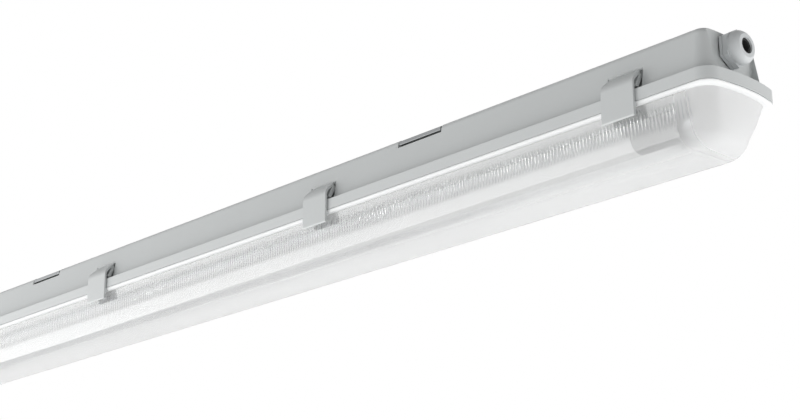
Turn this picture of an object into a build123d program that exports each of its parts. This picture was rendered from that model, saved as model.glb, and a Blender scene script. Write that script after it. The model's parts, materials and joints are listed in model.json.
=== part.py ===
from build123d import *
from math import atan2, degrees, sqrt
import os

# Weatherproof ceiling batten for one straight lamp, in millimetres, +Z up.
# The origin is on the ceiling plane, midway between the two bracket screws.
# +X points to the end with the cable gland, and -Y is the front.

# Overall sizes, apart from the length, which follows from the lamp's
fixture_width = 89.0
housing_height = 48.7
diffuser_depth = 44.8
moving_gap = 0.3
cut_overrun = 1.0

# Ceiling brackets, sprung over the roof from side to side
bracket_gauge = 1.5
bracket_width = 53.0
bracket_spacing = 624.0
bracket_flat_reach = 21.5
bracket_bend_drop = 3.1
bracket_hook_drop = 5.5
bracket_hook_reach = 2.4
bracket_clearance = 0.2
fixing_slot_length = 12.0
fixing_slot_width = 5.5

# Housing walls and roof
housing_wall = 2.2
roof_thickness = 2.5
ledge_inset = 6.0
roof_inset_side = 12.0
roof_inset_end = 12.0
wall_corner_radius = 14.0
roof_corner_radius = 10.0
roof_edge_radius = 6.0
pad_height = 1.0
pad_width = 8.0
pad_spacing = 30.0
well_size = 20.0
well_depth = 4.0

# Housing rim, with the channel that holds the gasket
rim_height = 10.0
rim_wall = 2.5
rim_corner_radius = 14.0
end_bow_radius = 170.0
ledge_thickness = 2.5
lip_inset = 8.0
lip_thickness = 2.0
lip_height = 7.0

# Recesses in the housing for the bracket arms, the clips and the cable entries
arm_recess_length = 56.0
arm_recess_height = 8.6
arm_recess_depth = 2.4
arm_groove_depth = 2.8
arm_groove_height = 4.1
clip_recess_margin = 1.7
clip_recess_floor = 2.9
entry_recess_width = 57.0
entry_recess_bottom = 12.3
entry_recess_radius = 7.0
entry_recess_inset = 16.0
entry_wall = 6.0

# Gasket
gasket_height = 3.0
gasket_side_clearance = 0.5

# Diffuser
diffuser_wall = 2.0
diffuser_side_inset = 5.0
diffuser_end_inset = 6.0
diffuser_side_draft = 5.2
diffuser_end_draft = 13.0
diffuser_top_radius = 17.0
diffuser_bottom_radius = 28.0
diffuser_edge_radius = 19.0
flange_inset = 0.5
flange_thickness = 2.6
flange_chamfer = 2.0
tongue_inset = 4.3
tongue_thickness = 2.0

# Clips and their pins
clips_per_side = 4
clip_end_offset = 90.5
clip_width = 32.5
clip_gauge = 2.2
clip_face_gap = 0.6
clip_tab_drop = 12.4
clip_bend_height = 18.3
clip_bend_radius = 8.3
pivot_height = 26.9
pivot_sink = 0.8
knuckle_radius = 2.4
knuckle_width = 20.0
lug_width = 4.5
clip_pin_radius = 1.0
pin_clearance = 0.05
hook_gap = 0.45
hook_reach = 2.7
hook_nose = 1.2
hook_root = 3.2
spring_leaf_gauge = 3.8
spring_leaf_reach = 6.1
spring_leaf_clearance = 4.6

# Gear tray and its screws
tray_gauge = 1.0
tray_height = 5.0
tray_side_clearance = 1.0
tray_end_clearance = 13.2
tray_flange = 4.4
boss_radius = 4.5
boss_spacing_y = 28.0
boss_end_distance = 100.5
tray_screw_radius = 1.95
tray_screw_length = 12.0
tray_screw_head_radius = 4.0
tray_screw_head_height = 2.4
tray_screw_clearance = 0.05

# Lamp, and the room past each of its ends
lamp_length = 1199.4
lamp_end_room = 40.8
lamp_axis_drop = 12.0
lamp_radius = 12.9
lamp_glass = 0.9
lamp_sleeve_length = 52.0
lamp_cap_length = 13.7
lamp_cap_wall = 0.8
lamp_pin_radius = 1.175
lamp_pin_length = 7.1
lamp_pin_spacing = 12.7
led_board_width = 16.0
led_board_thickness = 1.6
led_board_clearance = 0.1
led_size = 2.8
led_thickness = 0.8
led_pitch = 18.6
driver_board_length = 44.0
driver_board_width = 18.0
driver_board_thickness = 1.6
driver_coil_radius = 4.0
driver_coil_length = 12.0

# Lampholders and the rotors in them
holder_radius = 14.0
holder_thickness = 13.7
holder_end_gap = 0.3
holder_entry_width = 3.6
rotor_radius = 9.4
rotor_thickness = 7.4
rotor_slot_clearance = 0.1
contact_chamber_width = 18.0
contact_chamber_depth = 3.5
contact_chamber_wall = 0.5
contact_chamber_drop = 6.0
contact_width = 3.0
contact_gauge = 0.5
foot_width = 22.0
foot_length = 9.0
foot_height = 3.0
foot_clearance = 0.2

# Terminal block, earth screw and leads
terminal_end_distance = 170.5
terminal_poles = 3
terminal_pitch = 11.0
terminal_end_wall = 3.0
terminal_width = 22.0
terminal_height = 17.0
terminal_bore_height = 7.0
terminal_bore_radius = 2.0
terminal_screw_radius = 2.0
terminal_screw_length = 4.5
terminal_screw_offset = 4.6
terminal_slot_width = 0.8
terminal_slot_depth = 1.2
terminal_clearance = 0.1
clamp_size = 6.8
clamp_length = 15.6
lead_radius = 1.2
lead_bend_radius = 6.0
lead_drop_radius = 3.5
lead_insertion = 4.0
lead_end_clearance = 0.3
lead_lane_inner = 20.0
lead_lane_outer = 25.0
earth_screw_distance = 60.0
earth_screw_radius = 2.0
earth_screw_height = 6.0
earth_washer_radius = 5.0
earth_washer_thickness = 1.0
lead_clip_count = 5
lead_clip_length = 9.0
lead_clip_width = 7.0
lead_clip_height = 6.0
lead_clip_clearance = 0.1

# Cable gland and the plug in the other entry
entry_axis_height = 35.6
entry_hole_clearance = 0.05
gland_washer_radius = 13.6
gland_washer_thickness = 1.2
hex_sides = 6
gland_hex_width = 28.0
gland_flange_thickness = 2.6
gland_thread_radius = 10.0
gland_inside_length = 10.2
gland_body_bore = 7.0
gland_spigot_radius = 10.6
gland_spigot_length = 8.6
gland_seat_radius = 8.9
gland_seal_radius = 8.8
gland_seal_bore = 5.0
gland_seal_length = 9.2
gland_seal_stand = 2.6
gland_nut_clearance = 0.08
gland_nut_hex_length = 4.4
gland_dome_length = 8.5
gland_dome_radius = 14.0
gland_dome_bulge = 1.6
gland_nose_radius = 9.7
gland_mouth_radius = 6.6
plug_head_radius = 12.5
plug_head_thickness = 2.6
plug_nose_length = 3.0
plug_nose_taper = 1.5

# Heights of the main levels, and half sizes, all worked out from the sizes above
roof_z = -(bracket_gauge + pad_height)
rim_z = roof_z - housing_height
ledge_z = rim_z + rim_height
tray_z = rim_z + tray_height
tray_top_z = tray_z + tray_gauge
lamp_z = rim_z - lamp_axis_drop
entry_z = rim_z + entry_axis_height
fixture_length = lamp_length + 2 * lamp_end_room
half_length = fixture_length / 2
half_width = fixture_width / 2
flange_top_z = rim_z - moving_gap
flange_bottom_z = flange_top_z - flange_thickness
gasket_bottom_z = ledge_z - ledge_thickness - gasket_height
holder_face_x = lamp_length / 2 + holder_end_gap


def outline(end_inset, side_inset, radius, height):
    # A long face with straight sides, slightly bowed ends and round corners
    reach = half_length - end_inset
    across = half_width - side_inset
    bow = end_bow_radius - end_inset
    corner = reach - bow + sqrt(bow ** 2 - across ** 2)
    edges = [
        Line((-corner, -across), (corner, -across)),
        ThreePointArc((corner, -across), (reach, 0), (corner, across)),
        Line((corner, across), (-corner, across)),
        ThreePointArc((-corner, across), (-reach, 0), (-corner, -across)),
    ]
    face = make_face(edges)
    return Pos(0, 0, height) * fillet(face.vertices(), radius)


def slab(inset, bottom, top):
    face = outline(inset, inset, rim_corner_radius - inset, bottom)
    return extrude(face, top - bottom)


def ring(outer_inset, inner_inset, bottom, top):
    return slab(outer_inset, bottom, top) - slab(inner_inset, bottom, top)


def block(x_range, y_range, z_range):
    size = [high - low for low, high in (x_range, y_range, z_range)]
    centre = [(high + low) / 2 for low, high in (x_range, y_range, z_range)]
    return Pos(*centre) * Box(*size)


def prism_x(sketch, start, end, y=0, z=0):
    return extrude(Plane.YZ.offset(start) * Pos(y, z) * sketch, end - start)


def rod_x(radius, start, end, y=0, z=0):
    return prism_x(Circle(radius), start, end, y, z)


def rod_z(radius, bottom, top, x=0, y=0):
    return extrude(Pos(x, y, bottom) * Circle(radius), top - bottom)


def turned_x(points, z):
    # A solid of revolution about the line along X at height z: points are (x, radius)
    face = make_face(Polyline(*points, close=True))
    return Pos(0, 0, z) * revolve(Plane.XZ * face, Axis.X)


def bar(start, end, thickness):
    # A straight strip in a section, with round ends
    run = Vector(*end) - Vector(*start)
    middle = (Vector(*end) + Vector(*start)) / 2
    angle = degrees(atan2(run.Y, run.X))
    strip = Pos(middle.X, middle.Y) * Rot(0, 0, angle) * Rectangle(run.length, thickness)
    ends = [Pos(*point) * Circle(thickness / 2) for point in (start, end)]
    return strip + ends


def side_face(height):
    # Distance of the housing's side wall from the middle, at a height
    share = (height - ledge_z) / (roof_z - ledge_z)
    return half_width - ledge_inset - share * (roof_inset_side - ledge_inset)


def bracket_places():
    return [bracket_spacing / 2, -bracket_spacing / 2]


def clip_places():
    pitch = (fixture_length - 2 * clip_end_offset) / (clips_per_side - 1)
    return [half_length - clip_end_offset - index * pitch for index in range(clips_per_side)]


def boss_places():
    end_place = half_length - boss_end_distance
    return [(x, y) for x in (end_place, -end_place) for y in (boss_spacing_y / 2, -boss_spacing_y / 2)]


def tapered_upper(wall, roof):
    lower = outline(ledge_inset + wall, ledge_inset + wall, wall_corner_radius - wall, ledge_z)
    upper = outline(roof_inset_end + wall, roof_inset_side + wall, roof_corner_radius - wall, roof_z - roof)
    body = loft([lower, upper], ruled=True)
    top_edges = body.faces().sort_by(Axis.Z)[-1].edges()
    return fillet(top_edges, roof_edge_radius - wall)


def entry_recess(side, grow, wall):
    # The pocket in an end wall that takes the gland or the plug, open at the roof
    bottom = rim_z + entry_recess_bottom - grow
    radius = entry_recess_radius + grow
    height = roof_z + radius + cut_overrun - bottom
    face = RectangleRounded(entry_recess_width + 2 * grow, height, radius)
    floor = entry_floor() - wall
    return prism_x(face, side * floor, side * (half_length + cut_overrun), 0, bottom + height / 2)


def entry_hole(side):
    radius = gland_thread_radius + entry_hole_clearance
    return rod_x(radius, side * (entry_floor() - entry_wall - cut_overrun), side * half_length, 0, entry_z)


def arm_back():
    # Distance of a bracket pocket's back from the middle
    return side_face(roof_z - arm_recess_height) - arm_recess_depth


def bracket_slope():
    # The ends of a bracket's sloping run, in the middle of its gauge
    arm_y = arm_back() + bracket_clearance + bracket_gauge / 2
    return Vector(bracket_flat_reach, -bracket_gauge / 2), Vector(arm_y, roof_z - bracket_bend_drop)


def arm_notch(grow):
    # The section of the cut over the roof's edge, a set clearance under the sloping run
    start, end = bracket_slope()
    run = end - start
    shift = Vector(run.Y, -run.X).normalized() * (bracket_gauge / 2 + bracket_clearance + grow)
    start += shift
    end += shift
    top = roof_z + cut_overrun
    corners = [(start.X, top), (start.X, start.Y), (end.X, end.Y), (half_width, end.Y), (half_width, top)]
    return make_face(Polyline(*corners, close=True))


def arm_recess(x, side, grow):
    # The pocket in a side wall that takes a bracket arm, with the groove for its hook
    bottom = roof_z - arm_recess_height
    reach = arm_recess_length / 2 + grow
    span = (x - reach, x + reach)
    back = arm_back() - grow
    pocket = prism_x(arm_notch(grow), *span)
    pocket += block(span, (back, half_width), (bottom - grow, roof_z - bracket_bend_drop))
    groove_top = bottom + arm_groove_height
    pocket += block(span, (back - arm_groove_depth, half_width), (bottom - grow, groove_top + grow))
    return pocket if side > 0 else mirror(pocket, Plane.XZ)


def roof_well(x, grow):
    reach = well_size / 2 + grow
    return block((x - reach, x + reach), (-reach, reach), (roof_z - well_depth - grow, roof_z + cut_overrun))


def pivot_point():
    height = rim_z + pivot_height
    return side_face(height) - pivot_sink, height


def clip_plate_y():
    return half_width + clip_face_gap + clip_gauge / 2


def clip_slope():
    # The clip's sloping run from knuckle to bend, in the middle of its gauge: its start, end and direction
    pivot = Vector(*pivot_point())
    bend = Vector(clip_plate_y(), rim_z + clip_bend_height)
    away = (bend - pivot).normalized()
    root = pivot + Vector(-away.Y, away.X) * (knuckle_radius / 2)
    return root, bend, (bend - root).normalized()


def clip_recess(x, side, grow):
    # The pocket in a side wall behind a clip's knuckle, whose roof slopes as the clip does when it is open
    pivot = Vector(*pivot_point())
    reach = clip_width / 2 + clip_recess_margin + grow
    room = knuckle_radius + moving_gap + grow
    back = pivot.X - room
    floor = ledge_z + clip_recess_floor - grow
    along = clip_slope()[2]
    touch = pivot - along * room
    rise = -along.X / along.Y
    back_top = touch.Y + (back - touch.X) * rise
    front_top = touch.Y + (half_width - touch.X) * rise
    corners = [(back, floor), (half_width, floor), (half_width, front_top), (back, back_top)]
    pocket = prism_x(make_face(Polyline(*corners, close=True)), x - reach, x + reach)
    return pocket if side > 0 else mirror(pocket, Plane.XZ)


def clip_lug(x, side):
    # One of the two ears on the side wall that carry a clip's pin
    pivot_y, pivot_z = pivot_point()
    root_y = pivot_y - knuckle_radius - moving_gap - housing_wall / 2
    profile = Circle(knuckle_radius)
    web = Rectangle(pivot_y - root_y, 2 * knuckle_radius, align=(Align.MAX, Align.CENTER))
    lug = prism_x(profile + web, x - lug_width / 2, x + lug_width / 2, pivot_y, pivot_z)
    lug -= rod_x(clip_pin_radius + pin_clearance, x - lug_width, x + lug_width, pivot_y, pivot_z)
    return lug if side > 0 else mirror(lug, Plane.XZ)


def lug_offset():
    return knuckle_width / 2 + moving_gap + lug_width / 2


def tray_boss(x, y):
    return rod_z(boss_radius, tray_top_z, roof_z - roof_thickness / 2, x, y)


def roof_pads(x):
    pads = []
    for side in (1, -1):
        y = side * pad_spacing / 2
        reach = bracket_width / 2
        span = (y - pad_width / 2, y + pad_width / 2)
        pads.append(block((x - reach, x + reach), span, (roof_z - roof_thickness / 2, roof_z + pad_height)))
    return pads


def housing():
    outer = tapered_upper(0, 0)
    body = outer + slab(0, rim_z, ledge_z)
    body -= tapered_upper(housing_wall, roof_thickness)
    lip_bottom = ledge_z - lip_height
    body -= slab(rim_wall, rim_z, lip_bottom)
    body -= ring(rim_wall, lip_inset, lip_bottom, ledge_z - ledge_thickness)
    body -= slab(lip_inset + lip_thickness, lip_bottom, ledge_z)
    inner = []
    cuts = []
    for side in (1, -1):
        inner.append(entry_recess(side, housing_wall, entry_wall))
        cuts.append(entry_recess(side, 0, 0))
        cuts.append(entry_hole(side))
    for x in bracket_places():
        inner.append(roof_well(x, housing_wall))
        cuts.append(roof_well(x, 0))
        for side in (1, -1):
            inner.append(arm_recess(x, side, housing_wall))
            cuts.append(arm_recess(x, side, 0))
    for x in clip_places():
        for side in (1, -1):
            inner.append(clip_recess(x, side, housing_wall))
            cuts.append(clip_recess(x, side, 0))
    for lining in inner:
        body += lining & outer
    for x in bracket_places():
        body += roof_pads(x)
    body += [tray_boss(x, y) for x, y in boss_places()]
    for cut in cuts:
        body -= cut
    for x, y in boss_places():
        hole_top = tray_top_z + tray_screw_length + cut_overrun
        body -= rod_z(tray_screw_radius + tray_screw_clearance, tray_z, hole_top, x, y)
    for x in clip_places():
        for side in (1, -1):
            body += [clip_lug(x + offset, side) for offset in (lug_offset(), -lug_offset())]
    return body


def housing_gasket():
    outer_inset = rim_wall + gasket_side_clearance
    inner_inset = lip_inset - gasket_side_clearance
    return ring(outer_inset, inner_inset, gasket_bottom_z, gasket_bottom_z + gasket_height)


def diffuser_form(wall):
    # The bowl's outside with wall zero, or its inside
    top_z = flange_bottom_z if wall == 0 else flange_top_z
    bottom_z = rim_z - diffuser_depth + wall
    top = outline(diffuser_end_inset + wall, diffuser_side_inset + wall, diffuser_top_radius - wall, top_z)
    end_inset = diffuser_end_inset + diffuser_end_draft + wall
    side_inset = diffuser_side_inset + diffuser_side_draft + wall
    bottom = outline(end_inset, side_inset, diffuser_bottom_radius - wall, bottom_z)
    form = loft([top, bottom], ruled=True)
    bottom_edges = form.faces().sort_by(Axis.Z)[0].edges()
    return fillet(bottom_edges, diffuser_edge_radius - wall)


def diffuser():
    flange = slab(flange_inset, flange_bottom_z, flange_top_z)
    lower_edges = flange.faces().sort_by(Axis.Z)[0].edges()
    flange = chamfer(lower_edges, flange_chamfer)
    body = flange + diffuser_form(0)
    tongue_top = gasket_bottom_z - moving_gap
    body += ring(tongue_inset, tongue_inset + tongue_thickness, flange_top_z, tongue_top)
    return body - diffuser_form(diffuser_wall)


def hook_ramp(y):
    # Height of the hook's sloping top, a set gap under the flange's chamfer
    chamfer_top = flange_bottom_z + flange_chamfer
    return chamfer_top + y - (half_width - flange_inset) - hook_gap * sqrt(2)


def clip_profile():
    pivot_y, pivot_z = pivot_point()
    plate_y = clip_plate_y()
    root, bend, _ = clip_slope()
    foot = (plate_y, rim_z - clip_tab_drop + clip_gauge / 2)
    path = FilletPolyline((root.X, root.Y), (bend.X, bend.Y), foot, radius=clip_bend_radius)
    profile = make_face(offset(path, amount=clip_gauge / 2, side=Side.BOTH))
    profile += Pos(pivot_y, pivot_z) * Circle(knuckle_radius)
    tip_y = plate_y - clip_gauge / 2 - hook_reach
    tip_z = hook_ramp(tip_y)
    nose = (tip_y + hook_nose / 2, tip_z - hook_nose)
    heel = (plate_y, tip_z - hook_root)
    profile += make_face(Polyline((plate_y, hook_ramp(plate_y)), (tip_y, tip_z), nose, heel, close=True))
    leaf_end = (pivot_y + spring_leaf_reach, ledge_z + spring_leaf_clearance)
    profile += bar((pivot_y, pivot_z), leaf_end, spring_leaf_gauge)
    return profile


def clip(x, side):
    pivot_y, pivot_z = pivot_point()
    body = prism_x(clip_profile(), x - clip_width / 2, x + clip_width / 2)
    body -= rod_x(clip_pin_radius + pin_clearance, x - clip_width, x + clip_width, pivot_y, pivot_z)
    for end in (1, -1):
        start = x + end * knuckle_width / 2
        body -= rod_x(knuckle_radius + moving_gap, start, x + end * clip_width, pivot_y, pivot_z)
    return body if side > 0 else mirror(body, Plane.XZ)


def clip_pins():
    pivot_y, pivot_z = pivot_point()
    reach = lug_offset() + lug_width / 2
    return [
        rod_x(clip_pin_radius, x - reach, x + reach, side * pivot_y, pivot_z)
        for x in clip_places() for side in (1, -1)
    ]


def ceiling_bracket(x):
    # A strap under the ceiling whose ends slope over the roof's edges and hook into the side walls
    start, end = bracket_slope()
    hook_z = roof_z - bracket_hook_drop
    hook_y = arm_back() - bracket_hook_reach + bracket_gauge / 2
    profile = bar((-start.X, start.Y), (start.X, start.Y), bracket_gauge)
    for side in (1, -1):
        profile += bar((side * start.X, start.Y), (side * end.X, end.Y), bracket_gauge)
        profile += bar((side * end.X, end.Y), (side * end.X, hook_z), bracket_gauge)
        profile += bar((side * end.X, hook_z), (side * hook_y, hook_z), bracket_gauge)
    strap = prism_x(profile, x - bracket_width / 2, x + bracket_width / 2)
    slot = Pos(x, 0, -bracket_gauge - cut_overrun) * SlotOverall(fixing_slot_length, fixing_slot_width)
    return strap - extrude(slot, bracket_gauge + 2 * cut_overrun)


def tray_half_sizes():
    length = half_length - lip_inset - lip_thickness - tray_end_clearance
    width = half_width - lip_inset - lip_thickness - tray_side_clearance
    return length, width


def gear_tray():
    length, width = tray_half_sizes()
    body = block((-length, length), (-width, width), (tray_z, tray_top_z + tray_flange))
    inner_x = length - tray_gauge
    inner_y = width - tray_gauge
    body -= block((-inner_x, inner_x), (-inner_y, inner_y), (tray_top_z, tray_top_z + tray_flange))
    for x, y in boss_places():
        body -= rod_z(tray_screw_radius + tray_screw_clearance, tray_z, tray_top_z, x, y)
    for side in (1, -1):
        reach_x = foot_length / 2 + foot_clearance
        reach_y = foot_width / 2 + foot_clearance
        x = side * holder_middle()
        body -= block((x - reach_x, x + reach_x), (-reach_y, reach_y), (tray_z, tray_top_z))
    return body


def tray_screws():
    screws = []
    for x, y in boss_places():
        screw = rod_z(tray_screw_radius, tray_z, tray_z + tray_screw_length, x, y)
        screw += rod_z(tray_screw_head_radius, tray_z - tray_screw_head_height, tray_z, x, y)
        slot_bottom = tray_z - tray_screw_head_height
        slot_y = (y - terminal_slot_width / 2, y + terminal_slot_width / 2)
        reach = tray_screw_head_radius + cut_overrun
        screw -= block((x - reach, x + reach), slot_y, (slot_bottom, slot_bottom + terminal_slot_depth))
        screws.append(screw)
    return screws


def holder_middle():
    return holder_face_x + holder_thickness / 2


def pocket_depth():
    return rotor_thickness + 2 * moving_gap


def chamber_range():
    start = holder_face_x + pocket_depth() + contact_chamber_wall
    return start, start + contact_chamber_depth


def lampholder(side):
    height = tray_z - lamp_z
    profile = Circle(holder_radius)
    profile += Rectangle(2 * holder_radius, height, align=(Align.CENTER, Align.MIN))
    body = prism_x(profile, holder_face_x, holder_face_x + holder_thickness, 0, lamp_z)
    middle = holder_middle()
    foot_x = (middle - foot_length / 2, middle + foot_length / 2)
    body += block(foot_x, (-foot_width / 2, foot_width / 2), (tray_z, tray_top_z + foot_height))
    pocket_end = holder_face_x + pocket_depth()
    body -= rod_x(rotor_radius + moving_gap, holder_face_x, pocket_end, 0, lamp_z)
    entry_y = (-holder_entry_width / 2, holder_entry_width / 2)
    body -= block((holder_face_x, pocket_end), entry_y, (lamp_z - holder_radius - cut_overrun, lamp_z))
    chamber_y = (-contact_chamber_width / 2, contact_chamber_width / 2)
    chamber_z = (lamp_z - contact_chamber_drop, tray_top_z + foot_height)
    body -= block(chamber_range(), chamber_y, chamber_z)
    return body if side > 0 else mirror(body, Plane.YZ)


def holder_contacts(side):
    start, end = chamber_range()
    middle = (start + end) / 2
    strips = []
    for y in (lamp_pin_spacing / 2, -lamp_pin_spacing / 2):
        across = (y - contact_width / 2, y + contact_width / 2)
        rise = (lamp_z - contact_chamber_drop, tray_top_z)
        strip = block((middle - contact_gauge / 2, middle + contact_gauge / 2), across, rise)
        foot_x = (start, middle + contact_gauge / 2)
        strip += block(foot_x, across, (rise[0], rise[0] + contact_gauge))
        strips.append(strip if side > 0 else mirror(strip, Plane.YZ))
    return strips


def rotor(side):
    start = holder_face_x + moving_gap
    body = rod_x(rotor_radius, start, start + rotor_thickness, 0, lamp_z)
    slot_half = lamp_pin_radius + rotor_slot_clearance
    slot_y = (-rotor_radius - cut_overrun, rotor_radius + cut_overrun)
    slot_end = holder_face_x - holder_end_gap + lamp_pin_length + moving_gap
    body -= block((start, slot_end), slot_y, (lamp_z - slot_half, lamp_z + slot_half))
    return body if side > 0 else mirror(body, Plane.YZ)


def lamp_tube():
    reach = lamp_length / 2 - lamp_cap_length - lamp_sleeve_length
    tube = rod_x(lamp_radius, -reach, reach, 0, lamp_z)
    return tube - rod_x(lamp_radius - lamp_glass, -reach, reach, 0, lamp_z)


def lamp_end_sleeve(side):
    start = lamp_length / 2 - lamp_cap_length - lamp_sleeve_length
    end = lamp_length / 2 - lamp_cap_length
    sleeve = rod_x(lamp_radius, start, end, 0, lamp_z)
    sleeve -= rod_x(lamp_radius - lamp_glass, start, end, 0, lamp_z)
    return sleeve if side > 0 else mirror(sleeve, Plane.YZ)


def lamp_cap(side):
    start = lamp_length / 2 - lamp_cap_length
    end = lamp_length / 2
    cap = rod_x(lamp_radius, start, end, 0, lamp_z)
    cap -= rod_x(lamp_radius - lamp_cap_wall, start, end - lamp_cap_wall, 0, lamp_z)
    return cap if side > 0 else mirror(cap, Plane.YZ)


def lamp_pins(side):
    start = lamp_length / 2
    pins = []
    for y in (lamp_pin_spacing / 2, -lamp_pin_spacing / 2):
        pin = rod_x(lamp_pin_radius, start, start + lamp_pin_length, y, lamp_z)
        pins.append(pin if side > 0 else mirror(pin, Plane.YZ))
    return pins


def lamp_led_board():
    # The board spans a chord of the tube's bore, and its chips face down
    reach = lamp_length / 2 - lamp_cap_length - lamp_sleeve_length
    bore = lamp_radius - lamp_glass - led_board_clearance
    half = led_board_width / 2
    top = lamp_z + sqrt(bore ** 2 - half ** 2)
    board = block((-reach, reach), (-half, half), (top - led_board_thickness, top))
    count = int(2 * reach / led_pitch)
    under = top - led_board_thickness
    for index in range(count):
        x = (index - (count - 1) / 2) * led_pitch
        span = (x - led_size / 2, x + led_size / 2)
        board += block(span, (-led_size / 2, led_size / 2), (under - led_thickness, under))
    return board


def lamp_drivers():
    start = lamp_length / 2 - lamp_cap_length - driver_board_length
    bore = lamp_radius - lamp_glass
    half = driver_board_width / 2
    bottom = lamp_z - sqrt(bore ** 2 - half ** 2)
    top = bottom + driver_board_thickness
    drivers = []
    for side in (1, -1):
        board = block((start, start + driver_board_length), (-half, half), (bottom, top))
        middle = start + driver_board_length / 2
        coil_x = (middle - driver_coil_length / 2, middle + driver_coil_length / 2)
        coil = rod_x(driver_coil_radius, *coil_x, 0, top + driver_coil_radius)
        coil_seat = block(coil_x, (-driver_coil_radius, driver_coil_radius), (top, top + driver_coil_radius))
        driver = board + coil_seat + coil
        drivers.append(driver if side > 0 else mirror(driver, Plane.YZ))
    return drivers


def terminal_middle():
    return half_length - terminal_end_distance


def pole_places():
    first = terminal_middle() + (terminal_poles - 1) / 2 * terminal_pitch
    return [first - index * terminal_pitch for index in range(terminal_poles)]


def terminal_bore_z():
    return tray_top_z + terminal_bore_height


def terminal_screw_places():
    return [(x, y) for x in pole_places() for y in (terminal_screw_offset, -terminal_screw_offset)]


def rod_y(radius, start, end, x, z):
    profile = Plane.XZ.offset(-start) * Pos(x, z) * Circle(radius)
    return extrude(profile, start - end)


def terminal_block():
    reach = terminal_poles * terminal_pitch / 2 + terminal_end_wall
    x = terminal_middle()
    half = terminal_width / 2
    top = tray_top_z + terminal_height
    body = block((x - reach, x + reach), (-half, half), (tray_top_z, top))
    room = clamp_size / 2 + terminal_clearance
    room_y = clamp_length / 2 + terminal_clearance
    bore_z = terminal_bore_z()
    for pole in pole_places():
        body -= rod_y(terminal_bore_radius, -half, half, pole, bore_z)
        body -= block((pole - room, pole + room), (-room_y, room_y), (bore_z - room, bore_z + room))
    for place in terminal_screw_places():
        body -= rod_z(terminal_screw_radius + terminal_clearance, bore_z, top, *place)
    return body


def terminal_clamps():
    clamps = []
    bore_z = terminal_bore_z()
    half = clamp_size / 2
    for pole in pole_places():
        reach = (-clamp_length / 2, clamp_length / 2)
        clamp = block((pole - half, pole + half), reach, (bore_z - half, bore_z + half))
        clamps.append(clamp - rod_y(terminal_bore_radius, *reach, pole, bore_z))
    return clamps


def terminal_screws():
    bottom = terminal_bore_z() + clamp_size / 2
    screws = []
    for x, y in terminal_screw_places():
        top = bottom + terminal_screw_length
        screw = rod_z(terminal_screw_radius, bottom, top, x, y)
        reach = terminal_screw_radius + cut_overrun
        slot_y = (y - terminal_slot_width / 2, y + terminal_slot_width / 2)
        screws.append(screw - block((x - reach, x + reach), slot_y, (top - terminal_slot_depth, top)))
    return screws


def earth_place():
    return pole_places()[-1] - earth_screw_distance, -lead_lane_inner + earth_washer_radius


def earth_screw():
    x, y = earth_place()
    washer_top = tray_top_z + earth_washer_thickness
    screw = rod_z(earth_washer_radius, tray_top_z, washer_top, x, y)
    return screw + rod_z(earth_screw_radius, washer_top, washer_top + earth_screw_height, x, y)


def lead(points, radii):
    path = FilletPolyline(*points, radius=radii)
    section = Plane(origin=path @ 0, z_dir=path % 0) * Circle(lead_radius)
    return sweep(section, path)


def lead_start():
    return -terminal_width / 2 + lead_insertion


def holder_lead(pole, side, lane):
    # From a pole of the terminal block, along the tray, down into a lampholder's chamber
    bore_z = terminal_bore_z()
    start, end = chamber_range()
    drop_x = side * (end - lead_radius)
    drop_y = -lamp_pin_spacing / 2
    points = [
        (pole, lead_start(), bore_z),
        (pole, -lane, bore_z),
        (drop_x, -lane, bore_z),
        (drop_x, drop_y, bore_z),
        (drop_x, drop_y, tray_top_z),
    ]
    return lead(points, [lead_bend_radius, lead_bend_radius, lead_drop_radius])


def lead_live():
    return holder_lead(pole_places()[0], 1, lead_lane_outer)


def lead_neutral():
    return holder_lead(pole_places()[1], -1, lead_lane_outer)


def lead_earth():
    pole = pole_places()[2]
    bore_z = terminal_bore_z()
    x, y = earth_place()
    end_x = x + earth_screw_radius + lead_end_clearance
    low_z = tray_top_z + earth_washer_thickness + lead_radius
    points = [
        (pole, lead_start(), bore_z),
        (pole, -lead_lane_inner, bore_z),
        ((pole + end_x) / 2, -lead_lane_inner, bore_z),
        (end_x + lead_bend_radius, y - lead_radius, low_z),
        (end_x, y, low_z),
    ]
    return lead(points, [lead_bend_radius, lead_bend_radius, lead_drop_radius])


def lead_clips():
    bore_z = terminal_bore_z()
    run_start = pole_places()[2] - earth_screw_distance
    run_end = -half_length + boss_end_distance
    clips = []
    for index in range(lead_clip_count):
        x = run_start + (run_end - run_start) * (index + 1) / (lead_clip_count + 1)
        span = (x - lead_clip_length / 2, x + lead_clip_length / 2)
        across = (-lead_lane_outer - lead_clip_width / 2, -lead_lane_outer + lead_clip_width / 2)
        saddle = block(span, across, (tray_top_z, bore_z + lead_clip_height / 2))
        clips.append(saddle - rod_x(lead_radius + lead_clip_clearance, *span, -lead_lane_outer, bore_z))
    return clips


def entry_floor():
    return half_length - entry_recess_inset


def hexagon(width):
    # A hexagon, sized across its flats, with a corner at the top
    return RegularPolygon(width / 2, hex_sides, major_radius=False, rotation=180 / hex_sides)


def gland_washer():
    start = entry_floor()
    end = start + gland_washer_thickness
    washer = rod_x(gland_washer_radius, start, end, 0, entry_z)
    return washer - rod_x(gland_thread_radius, start, end, 0, entry_z)


def gland_body():
    flange_start = entry_floor() + gland_washer_thickness
    flange_end = flange_start + gland_flange_thickness
    rear = flange_start - gland_inside_length - gland_washer_thickness
    front = flange_end + gland_spigot_length
    body = rod_x(gland_thread_radius, rear, flange_start, 0, entry_z)
    body += prism_x(hexagon(gland_hex_width), flange_start, flange_end, 0, entry_z)
    body += rod_x(gland_spigot_radius, flange_end, front, 0, entry_z)
    body -= rod_x(gland_body_bore, rear, front, 0, entry_z)
    seat = front - (gland_seal_length - gland_seal_stand)
    return body - rod_x(gland_seat_radius, seat, front, 0, entry_z)


def gland_front():
    return entry_floor() + gland_washer_thickness + gland_flange_thickness + gland_spigot_length


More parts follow.
